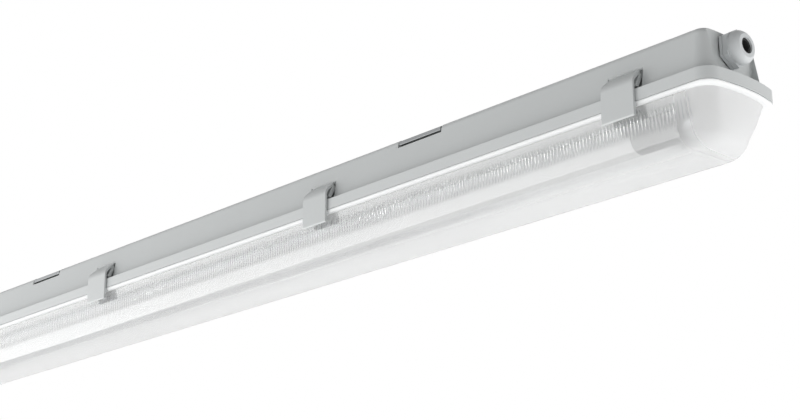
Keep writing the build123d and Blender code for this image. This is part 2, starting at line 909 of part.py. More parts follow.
def gland_seal():
    end = gland_front() + gland_seal_stand
    start = end - gland_seal_length
    seal = rod_x(gland_seal_radius, start, end, 0, entry_z)
    return seal - rod_x(gland_seal_bore, start, end, 0, entry_z)


def gland_dome(start, end):
    # The domed nose of the nut, turned about the entry's axis
    middle = ((start + end) / 2, (gland_dome_radius + gland_nose_radius) / 2 + gland_dome_bulge)
    arc = ThreePointArc((start, gland_dome_radius), middle, (end, gland_nose_radius))
    rest = Polyline((end, gland_nose_radius), (end, 0), (start, 0), (start, gland_dome_radius))
    return Pos(0, 0, entry_z) * revolve(Plane.XZ * make_face([arc, rest]), Axis.X)


def gland_nut():
    start = entry_floor() + gland_washer_thickness + gland_flange_thickness + moving_gap
    dome_start = start + gland_nut_hex_length
    end = dome_start + gland_dome_length
    body = prism_x(hexagon(gland_hex_width), start, dome_start, 0, entry_z)
    body += gland_dome(dome_start, end)
    spigot_room = gland_front() + moving_gap
    body -= rod_x(gland_spigot_radius + gland_nut_clearance, start, spigot_room, 0, entry_z)
    seal_room = gland_front() + gland_seal_stand + moving_gap
    body -= rod_x(gland_seal_radius + moving_gap, start, seal_room, 0, entry_z)
    return body - rod_x(gland_mouth_radius, start, end, 0, entry_z)


def entry_plug():
    # A moulded plug pushed into the other end's hole, up to its head
    floor = entry_floor()
    inner = floor - entry_wall
    points = [
        (floor + plug_head_thickness, 0),
        (floor + plug_head_thickness, plug_head_radius - plug_head_thickness / 2),
        (floor + plug_head_thickness / 2, plug_head_radius),
        (floor, plug_head_radius),
        (floor, gland_thread_radius),
        (inner, gland_thread_radius),
        (inner - plug_nose_length, gland_thread_radius - plug_nose_taper),
        (inner - plug_nose_length, 0),
    ]
    return mirror(turned_x(points, entry_z), Plane.YZ)


def as_part(shape):
    solids = ShapeList(shape).solids() if isinstance(shape, list) else shape.solids()
    return Compound(children=list(solids)) if len(solids) > 1 else solids[0]


def pieces():
    nodes = {
        "housing": housing(),
        "housing_gasket": housing_gasket(),
        "diffuser": diffuser(),
        "clip_pins": clip_pins(),
        "gear_tray": gear_tray(),
        "tray_screws": tray_screws(),
        "lamp_tube": lamp_tube(),
        "lamp_led_board": lamp_led_board(),
        "lamp_drivers": lamp_drivers(),
        "terminal_block": terminal_block(),
        "terminal_clamps": terminal_clamps(),
        "terminal_screws": terminal_screws(),
        "earth_screw": earth_screw(),
        "lead_live": lead_live(),
        "lead_neutral": lead_neutral(),
        "lead_earth": lead_earth(),
        "lead_clips": lead_clips(),
        "gland_body": gland_body(),
        "gland_washer": gland_washer(),
        "gland_seal": gland_seal(),
        "gland_nut": gland_nut(),
        "entry_plug": entry_plug(),
    }
    for number, x in enumerate(clip_places(), 1):
        nodes[f"clip_front_{number}"] = clip(x, -1)
        nodes[f"clip_back_{number}"] = clip(x, 1)
    for letter, x in zip("ab", bracket_places()):
        nodes[f"ceiling_bracket_{letter}"] = ceiling_bracket(x)
    for letter, side in (("a", 1), ("b", -1)):
        nodes[f"lampholder_{letter}"] = lampholder(side)
        nodes[f"holder_contacts_{letter}"] = holder_contacts(side)
        nodes[f"rotor_{letter}"] = rotor(side)
        nodes[f"lamp_end_sleeve_{letter}"] = lamp_end_sleeve(side)
        nodes[f"lamp_cap_{letter}"] = lamp_cap(side)
        nodes[f"lamp_pins_{letter}"] = lamp_pins(side)
    return nodes


os.makedirs("parts", exist_ok=True)
for name, shape in pieces().items():
    export_step(as_part(shape), f"parts/{name}.step")
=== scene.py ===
import json
from math import asin, atan, cos, pi, radians, sin, sqrt, tan

import bmesh
import bpy
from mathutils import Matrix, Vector


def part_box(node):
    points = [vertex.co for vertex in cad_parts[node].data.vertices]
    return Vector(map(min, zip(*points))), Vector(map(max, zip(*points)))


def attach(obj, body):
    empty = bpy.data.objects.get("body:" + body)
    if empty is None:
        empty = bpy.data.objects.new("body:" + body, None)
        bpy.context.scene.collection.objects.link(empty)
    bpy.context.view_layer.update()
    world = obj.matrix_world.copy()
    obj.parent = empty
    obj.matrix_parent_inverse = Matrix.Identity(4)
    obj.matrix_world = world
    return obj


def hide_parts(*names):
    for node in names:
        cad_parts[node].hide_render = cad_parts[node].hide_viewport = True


# A weatherproof ceiling batten, seen from below and from its gland end.
# Sizes are in millimetres, and MM turns them to metres. Only the floor, the lamps and the camera are in metres.
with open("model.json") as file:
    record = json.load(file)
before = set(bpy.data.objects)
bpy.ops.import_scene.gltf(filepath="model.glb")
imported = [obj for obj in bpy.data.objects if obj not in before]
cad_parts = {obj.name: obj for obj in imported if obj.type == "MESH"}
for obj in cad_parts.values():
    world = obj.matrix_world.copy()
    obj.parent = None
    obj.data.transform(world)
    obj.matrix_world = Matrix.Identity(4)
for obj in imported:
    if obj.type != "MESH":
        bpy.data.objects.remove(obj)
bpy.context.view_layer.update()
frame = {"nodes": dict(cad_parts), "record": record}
MM = 0.001


# Small helpers

# Most of a noise texture's values lie in this range
NOISE_RANGE = {"From Min": 0.3, "From Max": 0.7}


def linear(hex_colour):
    # An sRGB hex colour as linear red, green, blue and alpha
    values = [int(hex_colour[i:i + 2], 16) / 255 for i in (1, 3, 5)]
    return [v / 12.92 if v <= 0.04045 else ((v + 0.055) / 1.055) ** 2.4 for v in values] + [1.0]


def add(material, kind, inputs=None, **settings):
    # Adds a shader node with its settings, its socket values and its links
    tree = material.node_tree
    made = tree.nodes.new(kind)
    for name, value in settings.items():
        setattr(made, name, value)
    for name, value in (inputs or {}).items():
        if isinstance(value, bpy.types.NodeSocket):
            tree.links.new(value, made.inputs[name])
        else:
            made.inputs[name].default_value = value
    return made


def blank(name):
    # A new material without nodes, and the place on the object that its patterns follow
    material = bpy.data.materials.new(name)
    material.use_nodes = True
    material.node_tree.nodes.clear()
    return material, add(material, "ShaderNodeTexCoord").outputs["Object"]


def finished(material, shader):
    # The material, once its last shader is on its output
    add(material, "ShaderNodeOutputMaterial", {"Surface": shader.outputs[0]})
    return material


def mottled(material, place, first, second, size_mm):
    # Two close colours that drift into each other over a real distance: the drift's share, and the colour
    drift = add(material, "ShaderNodeTexNoise", {"Vector": place, "Scale": 1 / (size_mm * MM), "Detail": 3.0})
    colour = add(material, "ShaderNodeMix", {"Factor": drift.outputs["Fac"], "A": linear(first),
                                             "B": linear(second)}, data_type="RGBA")
    return drift.outputs["Fac"], colour.outputs["Result"]


def grained(material, place, size_mm, depth_mm):
    # A fine bump whose grains have a real size and depth
    grain = add(material, "ShaderNodeTexNoise", {"Vector": place, "Scale": 1 / (size_mm * MM), "Detail": 2.0})
    bump = add(material, "ShaderNodeBump", {"Height": grain.outputs["Fac"], "Distance": depth_mm * MM})
    return bump.outputs["Normal"]


def surfaced(material, drift, colour, roughness, normal, sockets=None):
    # The finished surface: its roughness drifts between two limits, along with the colour
    low, high = roughness
    rough = add(material, "ShaderNodeMapRange", {"Value": drift, **NOISE_RANGE, "To Min": low, "To Max": high})
    shader = add(material, "ShaderNodeBsdfPrincipled",
                 {"Base Color": colour, "Roughness": rough.outputs["Result"], "Normal": normal,
                  **(sockets or {})})
    return finished(material, shader)


def moulded(name, light, dark, roughness, grain_mm, depth_mm, ior):
    # Moulded plastic: a slow drift of colour along the flow, and the tool's grain in the surface
    # A real tool's grain is under 0.1 mm, and is drawn coarser, at grain_mm, so that it shows
    material, place = blank(name)
    drift, colour = mottled(material, place, dark, light, FLOW_DRIFT)
    normal = grained(material, place, grain_mm, depth_mm)
    limits = (roughness - MOULDED_SWING, roughness + MOULDED_SWING)
    return surfaced(material, drift, colour, limits, normal, {"IOR": ior})


def rolled(name, light, dark, roughness, line_mm, depth_mm, stretch):
    # Rolled or drawn metal: lines along X, in the colour, the roughness and the surface
    # Real lines are under 0.1 mm wide, and are drawn coarser, at line_mm, so that they show
    material, place = blank(name)
    squeeze = (stretch, 1.0, 1.0)
    lines = add(material, "ShaderNodeMapping", {"Vector": place, "Scale": squeeze}).outputs["Vector"]
    drift, colour = mottled(material, lines, dark, light, LINES_PER_DRIFT * line_mm)
    normal = grained(material, lines, line_mm, depth_mm)
    limits = (roughness - ROLLED_SWING, roughness + ROLLED_SWING)
    return surfaced(material, drift, colour, limits, normal, {"Metallic": 1.0})


# Sizes of the diffuser: what the frame gives, then its flange, its bowl and its ribs

flange_low, flange_high = [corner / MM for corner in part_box("diffuser")]
rim_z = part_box("housing")[0].z / MM
FLANGE_INSET = 0.5
HALF_LENGTH = flange_high.x + FLANGE_INSET
HALF_WIDTH = flange_high.y + FLANGE_INSET
CORNER_RADIUS = 14.0
END_BOW_RADIUS = 170.0
FLANGE_GAP = 0.3
FLANGE_THICKNESS = 2.6
FLANGE_TOP = rim_z - FLANGE_GAP
FLANGE_BOTTOM = FLANGE_TOP - FLANGE_THICKNESS
TONGUE_TOP = flange_high.z
BOWL_BOTTOM = flange_low.z
WALL = 2.0
SIDE_INSET = 5.0
END_INSET = 6.0
SIDE_DRAFT = 5.2
END_DRAFT = 13.0
TOP_RADIUS = 17.0
BOTTOM_RADIUS = 28.0
EDGE_RADIUS = 19.0
RIB_PITCH = 3.5
RIB_HEIGHT = 0.8
RIB_TOP_DROP = 7.0
RIB_BOTTOM_DROP = 25.0
RIB_RUN_OUT = 1.0
RIB_END_MARGIN = 43.5

# The tongue, with a low ridge along each edge of its top, and then the flange, with a fine groove round it
# Each pair is an inset from the outline and a height
FLANGE_SECTION = [
    (6.3, FLANGE_TOP),
    (6.3, TONGUE_TOP + 0.4),
    (5.9, TONGUE_TOP),
    (4.7, TONGUE_TOP),
    (4.3, TONGUE_TOP + 0.4),
    (4.3, FLANGE_TOP),
    (FLANGE_INSET + 0.3, FLANGE_TOP),
    (FLANGE_INSET, FLANGE_TOP - 0.3),
    (FLANGE_INSET, FLANGE_TOP - 0.9),
    (FLANGE_INSET + 0.45, FLANGE_TOP - 1.05),
    (FLANGE_INSET + 0.45, FLANGE_TOP - 1.3),
    (FLANGE_INSET + 0.6, FLANGE_TOP - 1.45),
    (FLANGE_INSET + 1.1, FLANGE_TOP - 1.95),
    (FLANGE_INSET + 1.8, FLANGE_TOP - 2.4),
    (FLANGE_INSET + 2.5, FLANGE_BOTTOM),
]

# The rows of faces on the flange, which are matt: the first, and the one after the last
MATT_ROWS = (5, 15)

# How finely its loops are drawn: points per part of a loop, and loops per part of the section
CORNER_STEPS = 12
END_STEPS = 6
RIB_STEPS = 4
EDGE_STEPS = 10
WALL_SHARES = (0, 0.3, 0.65)
RIB_SHARES = (0, 0.12, 0.4, 0.7, 0.88, 1)
HARD_EDGE_DEGREES = 35

# How its finish is laid out: the painted shade strokes that stand in for the ribs' dark flanks, and where the
# milky ends start and are full
RIB_SHADE_END_MARGIN = 28.0
RIB_SHADE_WOBBLE = 9.0
RIB_SHADE_SHIFT = 2.0
RIB_SHADE_FADE = 3.0
MILKY_FROM = 44.0
MILKY_TO = 22.0


# Materials: values that several of them share, then one function for each finish

POLYCARBONATE_IOR = 1.585
POLYAMIDE_IOR = 1.53
PVC_IOR = 1.53
FLOW_DRIFT = 60
MOULDED_SWING = 0.04
ROLLED_SWING = 0.06
LINES_PER_DRIFT = 4
FLOW_STRETCH = (0.2, 1.0, 1.0)
EXTRUDED_STRETCH = (0.02, 1.0, 1.0)
EARTH_BAND = 3.77
BOARD_THICKNESS = 1.6


def grey_polycarbonate():
    # Injection-moulded polycarbonate with a satin tool finish, which gives a soft broad sheen
    return moulded("grey_polycarbonate_moulded", "#C9CCCC", "#C4C7C7",
                   roughness=0.42, grain_mm=0.8, depth_mm=0.012, ior=POLYCARBONATE_IOR)


def grey_acetal():
    # Injection-moulded acetal, a little smoother than the housing, with a tighter sheen
    return moulded("grey_acetal_moulded", "#C8CBCB", "#C3C6C6",
                   roughness=0.38, grain_mm=0.9, depth_mm=0.008, ior=1.48)


def grey_polyamide():
    # Injection-moulded polyamide, with a faint waxy sheen
    return moulded("grey_polyamide_moulded", "#CACDCE", "#C5C8C9",
                   roughness=0.36, grain_mm=0.9, depth_mm=0.01, ior=POLYAMIDE_IOR)


def painted_rib_shade_and_milky_ends(material, place):
    # How strongly painted shade darkens the colour at a point, in place of the light that the ribs' flanks
    # throw aside: a stroke per rib, uneven, and only in the ribs' band; near the ends the painted strokes run
    # on past the ribs
    # Then how milky the bowl is there, which grows towards its ends
    wobble = add(material, "ShaderNodeTexNoise",
                 {"Vector": place, "Scale": 1 / (RIB_SHADE_WOBBLE * MM), "Detail": 1.0})
    shift = add(material, "ShaderNodeMath", {0: wobble.outputs["Fac"], 1: RIB_SHADE_SHIFT * MM},
                operation="MULTIPLY")
    parts = add(material, "ShaderNodeSeparateXYZ", {"Vector": place})
    along = add(material, "ShaderNodeMath", {0: parts.outputs["X"], 1: shift.outputs["Value"]}, operation="ADD")
    turns = add(material, "ShaderNodeMath", {0: along.outputs["Value"], 1: 2 * pi / (RIB_PITCH * MM)},
                operation="MULTIPLY")
    wave = add(material, "ShaderNodeMath", {0: turns.outputs["Value"]}, operation="SINE")
    middle = (FLANGE_TOP - (RIB_TOP_DROP + RIB_BOTTOM_DROP) / 2) * MM
    half = (RIB_BOTTOM_DROP - RIB_TOP_DROP) / 2 * MM
    height = add(material, "ShaderNodeMath", {0: parts.outputs["Z"], 1: middle}, operation="SUBTRACT")
    away = add(material, "ShaderNodeMath", {0: height.outputs["Value"]}, operation="ABSOLUTE")
    band = add(material, "ShaderNodeMapRange", {"Value": away.outputs["Value"],
                                                "From Min": half - RIB_SHADE_FADE * MM, "From Max": half,
                                                "To Min": 1.0, "To Max": 0.0})
    out = add(material, "ShaderNodeMath", {0: parts.outputs["X"]}, operation="ABSOLUTE")
    ends = add(material, "ShaderNodeMath", {0: out.outputs["Value"], 1: (HALF_LENGTH - RIB_SHADE_END_MARGIN) * MM},
               operation="LESS_THAN")
    # Painted shade: one dark stroke per rib across the ribs' band
    painted_rib_shade = add(material, "ShaderNodeMath", {0: wave.outputs["Value"], 1: band.outputs["Result"]},
                  operation="MULTIPLY", use_clamp=True)
    shown = add(material, "ShaderNodeMath", {0: painted_rib_shade.outputs["Value"], 1: ends.outputs["Value"]},
                operation="MULTIPLY")
    milky = add(material, "ShaderNodeMapRange", {"Value": out.outputs["Value"],
                                                 "From Min": (HALF_LENGTH - MILKY_FROM) * MM,
                                                 "From Max": (HALF_LENGTH - MILKY_TO) * MM})
    return shown.outputs["Value"], milky.outputs["Result"]


def clear_polycarbonate():
    # Injection-moulded clear polycarbonate with a light haze from the tool, which softens what is behind it
    # The flanks of the ribs throw light aside and so look darker; this is painted shade, fine darker strokes in
    # the wall's colour
    # Both ends of the bowl are grained on the tool, so they are rougher, let less through and look milky
    material, place = blank("clear_polycarbonate_moulded")
    flow = add(material, "ShaderNodeMapping", {"Vector": place, "Scale": FLOW_STRETCH}).outputs["Vector"]
    drift, colour = mottled(material, flow, "#F9FAFA", "#FDFDFD", size_mm=45)
    painted_rib_shade, milky = painted_rib_shade_and_milky_ends(material, place)
    # Painted shade: the colour darkens towards #E2E5E6 along each rib's stroke, in place of the light that the
    # ribs throw aside
    painted_shade_colour = add(material, "ShaderNodeMix", {"Factor": painted_rib_shade, "A": colour, "B": linear("#E2E5E6")},
                 data_type="RGBA")
    haze = add(material, "ShaderNodeMapRange", {"Value": drift, **NOISE_RANGE, "To Min": 0.04, "To Max": 0.09})
    rough = add(material, "ShaderNodeMapRange",
                {"Value": milky, "To Min": haze.outputs["Result"], "To Max": 0.4})
    clear = add(material, "ShaderNodeMapRange", {"Value": milky, "To Min": 0.76, "To Max": 0.5})
    shader = add(material, "ShaderNodeBsdfPrincipled",
                 {"Base Color": painted_shade_colour.outputs["Result"], "Roughness": rough.outputs["Result"],
                  "IOR": POLYCARBONATE_IOR, "Transmission Weight": clear.outputs["Result"],
                  "Normal": grained(material, flow, size_mm=12.0, depth_mm=0.02)})
    return finished(material, shader)


def matt_polycarbonate():
    # The same moulded polycarbonate where the tool's matt face frosts it: the flange looks like milk glass
    # Its grain is drawn coarser than the real one, so that it shows
    material, place = blank("clear_polycarbonate_matt_moulded")
    flow = add(material, "ShaderNodeMapping", {"Vector": place, "Scale": FLOW_STRETCH}).outputs["Vector"]
    drift, colour = mottled(material, flow, "#F4F5F5", "#F9FAFA", size_mm=45)
    normal = grained(material, place, size_mm=0.9, depth_mm=0.01)
    return surfaced(material, drift, colour, (0.36, 0.44), normal,
                    {"IOR": POLYCARBONATE_IOR, "Transmission Weight": 0.2})


def foamed_gasket():
    # Foamed polyurethane, poured into its channel: matt, with small open cells
    # Real cells are about 0.3 mm wide, and are drawn at 0.9 mm so that they show
    material, place = blank("polyurethane_foamed")
    cells = add(material, "ShaderNodeTexVoronoi", {"Vector": place, "Scale": 1 / (0.9 * MM)})
    bump = add(material, "ShaderNodeBump", {"Height": cells.outputs["Distance"], "Distance": 0.15 * MM})
    shader = add(material, "ShaderNodeBsdfPrincipled",
                 {"Base Color": mottled(material, place, "#DCDCD8", "#E6E6E3", size_mm=20)[1], "Roughness": 0.9,
                  "Normal": bump.outputs["Normal"]})
    return finished(material, shader)


def black_rubber():
    # Moulded chloroprene rubber: near black, matt, with a fine dusty grain
    return moulded("chloroprene_rubber_moulded", "#2B2B2C", "#222223",
                   roughness=0.72, grain_mm=0.7, depth_mm=0.02, ior=1.52)


def spring_steel():
    # Cold-rolled stainless strip: a dull grey metal with the mill's fine lines
    return rolled("stainless_strip_rolled", "#8C8E8F", "#818384",
                  roughness=0.42, line_mm=0.5, depth_mm=0.004, stretch=0.06)


def drawn_steel():
    # Drawn stainless wire, bright, with lines along the pin
    return rolled("stainless_wire_drawn", "#BDBDBB", "#ACACAA",
                  roughness=0.28, line_mm=0.3, depth_mm=0.003, stretch=0.05)


def zinc_steel():
    # Steel with bright zinc plating: a bluish white metal with a faint cloudiness, the same all ways
    return rolled("steel_zinc_plated", "#C9CCCF", "#B5B8BC",
                  roughness=0.32, line_mm=1.2, depth_mm=0.004, stretch=1.0)


def white_powder_coat():
    # Sheet steel with a baked white powder coat: semi-gloss, with orange peel about 2 mm across
    material, place = blank("steel_powder_coated_white")
    drift, colour = mottled(material, place, "#F0F1F1", "#F5F6F6", size_mm=80)
    normal = grained(material, place, size_mm=2.0, depth_mm=0.02)
    return surfaced(material, drift, colour, (0.26, 0.34), normal)


def white_holder_plastic():
    # Injection-moulded polycarbonate, white, semi-gloss
    return moulded("white_polycarbonate_moulded", "#EFEFED", "#E9E9E6",
                   roughness=0.3, grain_mm=0.8, depth_mm=0.008, ior=POLYCARBONATE_IOR)


def white_rotor_plastic():
    # Injection-moulded polybutylene terephthalate, white, smooth where it turns
    return moulded("white_polybutylene_moulded", "#F2F2F0", "#ECECEA",
                   roughness=0.24, grain_mm=0.8, depth_mm=0.005, ior=1.55)


def natural_polyamide():
    # Injection-moulded polyamide without pigment: milky, faintly yellow
    return moulded("natural_polyamide_moulded", "#EAE8E0", "#E2E0D6",
                   roughness=0.36, grain_mm=0.9, depth_mm=0.01, ior=POLYAMIDE_IOR)


def stamped_brass():
    # Brass strip, stamped: warm yellow with the strip's rolling lines
    return rolled("brass_strip_stamped", "#D8BE7A", "#C8AC66",
                  roughness=0.3, line_mm=0.4, depth_mm=0.004, stretch=0.1)


def plated_pin_brass():
    # Turned brass with thin nickel plating: a warm bright metal
    return rolled("brass_nickel_plated", "#D6CDB4", "#C8BEA2",
                  roughness=0.24, line_mm=0.3, depth_mm=0.002, stretch=0.2)


def drawn_aluminium():
    # Deep-drawn aluminium cap, pale, with fine lines from the draw
    return rolled("aluminium_deep_drawn", "#D3D5D7", "#C5C7CA",
                  roughness=0.3, line_mm=0.4, depth_mm=0.004, stretch=0.1)


def sheath_plastic(name, light, dark):
    # Extruded PVC insulation, smooth, with a faint waviness along the lead
    return moulded(name, light, dark, roughness=0.4, grain_mm=1.5, depth_mm=0.01, ior=PVC_IOR)


def earth_sheath():
    # Extruded PVC insulation in green with yellow bands, which mark the earth lead
    # A wave texture repeats every pi / 10 of its scaled place, so this one repeats every EARTH_BAND
    material, place = blank("green_yellow_pvc_extruded")
    bands = add(material, "ShaderNodeTexWave", {"Vector": place, "Scale": pi / 10 / (EARTH_BAND * MM)},
                bands_direction="DIAGONAL")
    edge = add(material, "ShaderNodeMapRange",
               {"Value": bands.outputs["Fac"], "From Min": 0.62, "From Max": 0.68})
    colour = add(material, "ShaderNodeMix", {"Factor": edge.outputs["Result"], "A": linear("#3F8A3A"),
                                             "B": linear("#E5D33A")}, data_type="RGBA")
    shader = add(material, "ShaderNodeBsdfPrincipled",
                 {"Base Color": colour.outputs["Result"], "Roughness": 0.4, "IOR": PVC_IOR,
                  "Normal": grained(material, place, size_mm=1.5, depth_mm=0.01)})
    return finished(material, shader)


def opal_polycarbonate():
    # Extruded opal polycarbonate tube: white, glossy, with faint lines along the extrusion
    material, place = blank("opal_polycarbonate_extruded")
    lines = add(material, "ShaderNodeMapping", {"Vector": place, "Scale": EXTRUDED_STRETCH}).outputs["Vector"]
    drift, colour = mottled(material, lines, "#F6F7F7", "#FAFAFA", size_mm=6)
    normal = grained(material, lines, size_mm=1.5, depth_mm=0.01)
    return surfaced(material, drift, colour, (0.2, 0.28), normal, {"IOR": POLYCARBONATE_IOR})


def grey_sleeve_plastic():
    # Injection-moulded polycarbonate sleeve over the lamp's driver, satin, dark grey
    return moulded("sleeve_polycarbonate_moulded", "#5C6163", "#575B5D",
                   roughness=0.36, grain_mm=0.8, depth_mm=0.008, ior=POLYCARBONATE_IOR)


def two_part_board(name, above, below, level_mm, roughness):
    # A board with parts on one face: one pair of colours above a level, another below it
    material, place = blank(name)
    height = add(material, "ShaderNodeSeparateXYZ", {"Vector": place}).outputs["Z"]
    split = add(material, "ShaderNodeMath", {0: height, 1: level_mm * MM}, operation="GREATER_THAN")
    drift, upper = mottled(material, place, *above, size_mm=5)
    lower = mottled(material, place, *below, size_mm=5)[1]
    colour = add(material, "ShaderNodeMix", {"Factor": split.outputs["Value"], "A": lower, "B": upper},
                 data_type="RGBA")
    normal = grained(material, place, size_mm=0.8, depth_mm=0.02)
    return surfaced(material, drift, colour.outputs["Result"], roughness, normal)


def led_board():
    # Glass-fibre board with white solder mask, satin, and yellow phosphor on the chips under it
    under_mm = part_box("lamp_led_board")[1].z / MM - BOARD_THICKNESS
    return two_part_board("board_white_mask", ("#F1F1EE", "#E9E9E4"), ("#E8D878", "#DFC95A"), under_mm,
                          roughness=(0.35, 0.45))


def driver_board():
    # Glass-fibre board with green solder mask, satin, and copper wire on the coil over it
    top_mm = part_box("lamp_drivers")[0].z / MM + BOARD_THICKNESS
    return two_part_board("board_green_mask", ("#B4693A", "#9C5427"), ("#2E6B43", "#275C39"), top_mm,
                          roughness=(0.4, 0.5))


FINISHES = {
    "housing_plastic": grey_polycarbonate(),
    "clip_plastic": grey_acetal(),
    "gland_plastic": grey_polyamide(),
    "diffuser_plastic": clear_polycarbonate(),
    "gasket_foam": foamed_gasket(),
    "seal_rubber": black_rubber(),
    "bracket_steel": spring_steel(),
    "pin_steel": drawn_steel(),
    "zinc_steel": zinc_steel(),
    "tray_steel": white_powder_coat(),
    "holder_plastic": white_holder_plastic(),
    "rotor_plastic": white_rotor_plastic(),
    "terminal_plastic": natural_polyamide(),
    "contact_brass": stamped_brass(),
    "pin_brass": plated_pin_brass(),
    "cap_aluminium": drawn_aluminium(),
    "live_sheath": sheath_plastic("brown_pvc_extruded", "#7A4A2E", "#6C4027"),
    "neutral_sheath": sheath_plastic("blue_pvc_extruded", "#3B6FB5", "#3363A4"),
    "earth_sheath": earth_sheath(),
    "tube_plastic": opal_polycarbonate(),
    "sleeve_plastic": grey_sleeve_plastic(),
    "board_white": led_board(),
    "board_green": driver_board(),
}


def dress_nodes():
    # Gives each node of the frame the finish that its slot names
    for subpart in frame["record"]["subparts"]:
        node = frame["nodes"][subpart["node"]]
        for slot in node.material_slots:
            slot.material = FINISHES[subpart["material_slot"]]


# Diffuser: a moulded bowl with a flange and a tongue outside, and ribs inside its long walls


def ring(side_inset, side_z, end_inset, end_z, radius, rib_height=0.0):
    # One closed loop of points round the bowl: the half with positive Y, then its mirror image
    # Each end bows out gently, and a round corner meets both the bow and the straight side
    half_y = HALF_WIDTH - side_inset
    bow = END_BOW_RADIUS - end_inset
    bow_x = HALF_LENGTH - end_inset - bow
    corner_y = half_y - radius
    corner_x = bow_x + sqrt((bow - radius) ** 2 - corner_y ** 2)
    bow_angle = asin(corner_y / (bow - radius))
    quarter = []
    for step in range(END_STEPS):
        angle = bow_angle * step / END_STEPS
        quarter.append((bow_x + bow * cos(angle), bow * sin(angle), end_z))
    for step in range(CORNER_STEPS):
        share = step / CORNER_STEPS
        angle = bow_angle + share * (pi / 2 - bow_angle)
        quarter.append((corner_x + radius * cos(angle), corner_y + radius * sin(angle),
                        end_z + (side_z - end_z) * share))
    reach = HALF_LENGTH - RIB_END_MARGIN
    count = int(2 * reach / RIB_PITCH) * RIB_STEPS
    side = []
    for step in range(count + 1):
        wave = 1 - abs(2 * (step % RIB_STEPS) / RIB_STEPS - 1)
        side.append((reach - 2 * reach * step / count, half_y - rib_height * wave, side_z))
    half = quarter + [(corner_x, half_y, side_z)] + side + [(-corner_x, half_y, side_z)]
    half += [(-x, y, z) for x, y, z in reversed(quarter)]
    return half + [(x, -y, z) for x, y, z in reversed(half[1:-1])]


def along_wall(wall, top_z, share, rib_height=0.0):
    # A loop on the bowl's wall, at a share of the way down, this far inside the outer face
    bottom_z = BOWL_BOTTOM + wall
    z = top_z + (bottom_z - top_z) * share
    radius = TOP_RADIUS + (BOTTOM_RADIUS - TOP_RADIUS) * share - wall
    side_inset = SIDE_INSET + SIDE_DRAFT * share + wall
    end_inset = END_INSET + END_DRAFT * share + wall
    return ring(side_inset, z, end_inset, z, radius, rib_height)


def edge_point(inset, draft, wall, top_z, share):
    # A point on the round edge between a wall and the bottom: its inset, its height, and how far it is drawn in
    bottom_z = BOWL_BOTTOM + wall
    radius = EDGE_RADIUS - wall
    lean = atan(draft / (top_z - bottom_z))
    centre = inset + draft + wall - radius * tan(lean) + radius / cos(lean)
    angle = lean + (pi / 2 - lean) * share
    drawn_in = radius * (cos(lean) - cos(angle))
    return centre - radius * cos(angle), bottom_z + radius - radius * sin(angle), drawn_in


def along_edge(wall, top_z, share):
    # A loop on that edge, at a share of the way from the wall to the bottom
    side_inset, side_z, drawn_in = edge_point(SIDE_INSET, SIDE_DRAFT, wall, top_z, share)
    end_inset, end_z, _ = edge_point(END_INSET, END_DRAFT, wall, top_z, share)
    return ring(side_inset, side_z, end_inset, end_z, BOTTOM_RADIUS - wall - drawn_in)


def bowl_rings():
    # The loops of the whole section, from the tongue over the outside and back up the inside
    # Then how many of them are outside
    edge_share = EDGE_RADIUS / (FLANGE_BOTTOM - BOWL_BOTTOM)
    rings = [ring(inset, z, inset, z, CORNER_RADIUS - inset) for inset, z in FLANGE_SECTION]
    rings += [along_wall(0, FLANGE_BOTTOM, share * (1 - edge_share)) for share in WALL_SHARES]
    rings += [along_edge(0, FLANGE_BOTTOM, step / EDGE_STEPS) for step in range(EDGE_STEPS + 1)]
    outer_count = len(rings)
    rings += [along_edge(WALL, FLANGE_TOP, 1 - step / EDGE_STEPS) for step in range(EDGE_STEPS + 1)]
    depth = FLANGE_TOP - BOWL_BOTTOM - WALL
    rib_low = (RIB_BOTTOM_DROP - RIB_RUN_OUT) / depth
    rib_high = RIB_TOP_DROP / depth
    for share in RIB_SHARES:
        rib_height = 0.0 if share in (0, 1) else RIB_HEIGHT
        rings.append(along_wall(WALL, FLANGE_TOP, rib_low + (rib_high - rib_low) * share, rib_height))
    rings.append(along_wall(WALL, FLANGE_TOP, 0))
    return rings, outer_count


def joined(rings, outer_count):
    # Faces between neighbouring loops, and across the flat bottom, outside and inside
    count = len(rings[0])
    faces = []
    for row in range(len(rings)):
        if row == outer_count - 1:
            continue
        start = row * count
        above = (row + 1) % len(rings) * count
        for index in range(count):
            following = (index + 1) % count
            faces.append((start + index, start + following, above + following, above + index))
    for row in (outer_count - 1, outer_count):
        start = row * count
        for index in range(count // 2):
            mirrored = (count - index) % count
            corners = [index, index + 1, (count - index - 1) % count, mirrored]
            faces.append(tuple(dict.fromkeys(start + corner for corner in corners)))
    return faces


def new_mesh(name, points, faces):
    # A smooth mesh from points in millimetres, with its normals outwards and its hard edges kept
    mesh = bpy.data.meshes.new(name)
    mesh.from_pydata([[value * MM for value in point] for point in points], [], faces)
    work = bmesh.new()
    work.from_mesh(mesh)
    bmesh.ops.recalc_face_normals(work, faces=work.faces)
    work.to_mesh(mesh)
    work.free()
    mesh.shade_smooth()
    mesh.set_sharp_from_angle(angle=radians(HARD_EDGE_DEGREES))
    piece = bpy.data.objects.new(name, mesh)
    bpy.context.scene.collection.objects.link(piece)
    return piece


def make_diffuser():
    # Clear, but for the flange, which is matt
    rings, outer_count = bowl_rings()
    points = [point for loop in rings for point in loop]
    piece = new_mesh("ribbed_diffuser", points, joined(rings, outer_count))
    piece.data.materials.append(FINISHES["diffuser_plastic"])
    piece.data.materials.append(matt_polycarbonate())
    first, last = [row * len(rings[0]) for row in MATT_ROWS]
    for face in piece.data.polygons[first:last]:
        face.material_index = 1
    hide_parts("diffuser")
    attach(piece, "diffuser")


# Floor, light and camera, in metres

